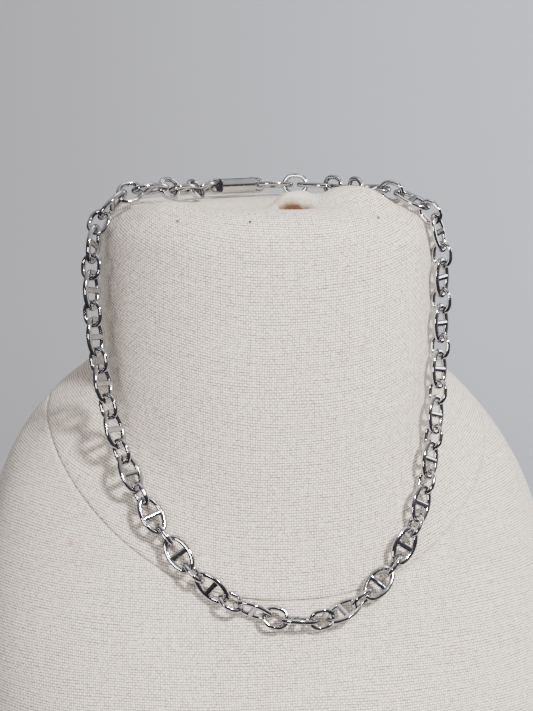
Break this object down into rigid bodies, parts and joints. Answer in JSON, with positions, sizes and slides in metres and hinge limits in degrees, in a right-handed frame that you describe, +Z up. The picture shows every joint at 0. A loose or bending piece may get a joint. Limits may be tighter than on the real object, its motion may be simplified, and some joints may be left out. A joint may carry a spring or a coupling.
{
  "type": "mariner link chain necklace on a neck bust",
  "caption": "Closed necklace of polished oval mariner links, each with a bar across, joined by plain oval links and laid round a canvas-covered neck bust with a flat base.",
  "frame": {"origin": "on the ground under the middle of the bust's base", "axes": "+Z up, -Y the way the bust faces, +X to the right as seen from the front"},
  "size_m": [0.2002, 0.16, 0.2239],
  "materials": {
    "polished_steel": "mirror polished, silver tone",
    "canvas": "unbleached canvas, plain weave"
  },
  "bodies": {
    "root": {"mariner_link_01": "polished_steel", "mariner_link_02": "polished_steel", "mariner_link_03": "polished_steel", "mariner_link_04": "polished_steel", "mariner_link_05": "polished_steel", "mariner_link_06": "polished_steel", "mariner_link_07": "polished_steel", "mariner_link_08": "polished_steel", "mariner_link_09": "polished_steel", "mariner_link_10": "polished_steel", "mariner_link_11": "polished_steel", "mariner_link_12": "polished_steel", "mariner_link_13": "polished_steel", "mariner_link_14": "polished_steel", "mariner_link_15": "polished_steel", "mariner_link_16": "polished_steel", "mariner_link_17": "polished_steel", "mariner_link_18": "polished_steel", "mariner_link_19": "polished_steel", "mariner_link_20": "polished_steel", "mariner_link_21": "polished_steel", "mariner_link_22": "polished_steel", "mariner_link_23": "polished_steel", "mariner_link_24": "polished_steel", "mariner_link_25": "polished_steel", "mariner_link_26": "polished_steel", "mariner_link_27": "polished_steel", "mariner_link_28": "polished_steel", "mariner_link_29": "polished_steel", "mariner_link_30": "polished_steel", "connector_links": "polished_steel", "clasp": "polished_steel", "neck_form": "canvas", "chest_form": "canvas"}
  },
  "joints": []
}
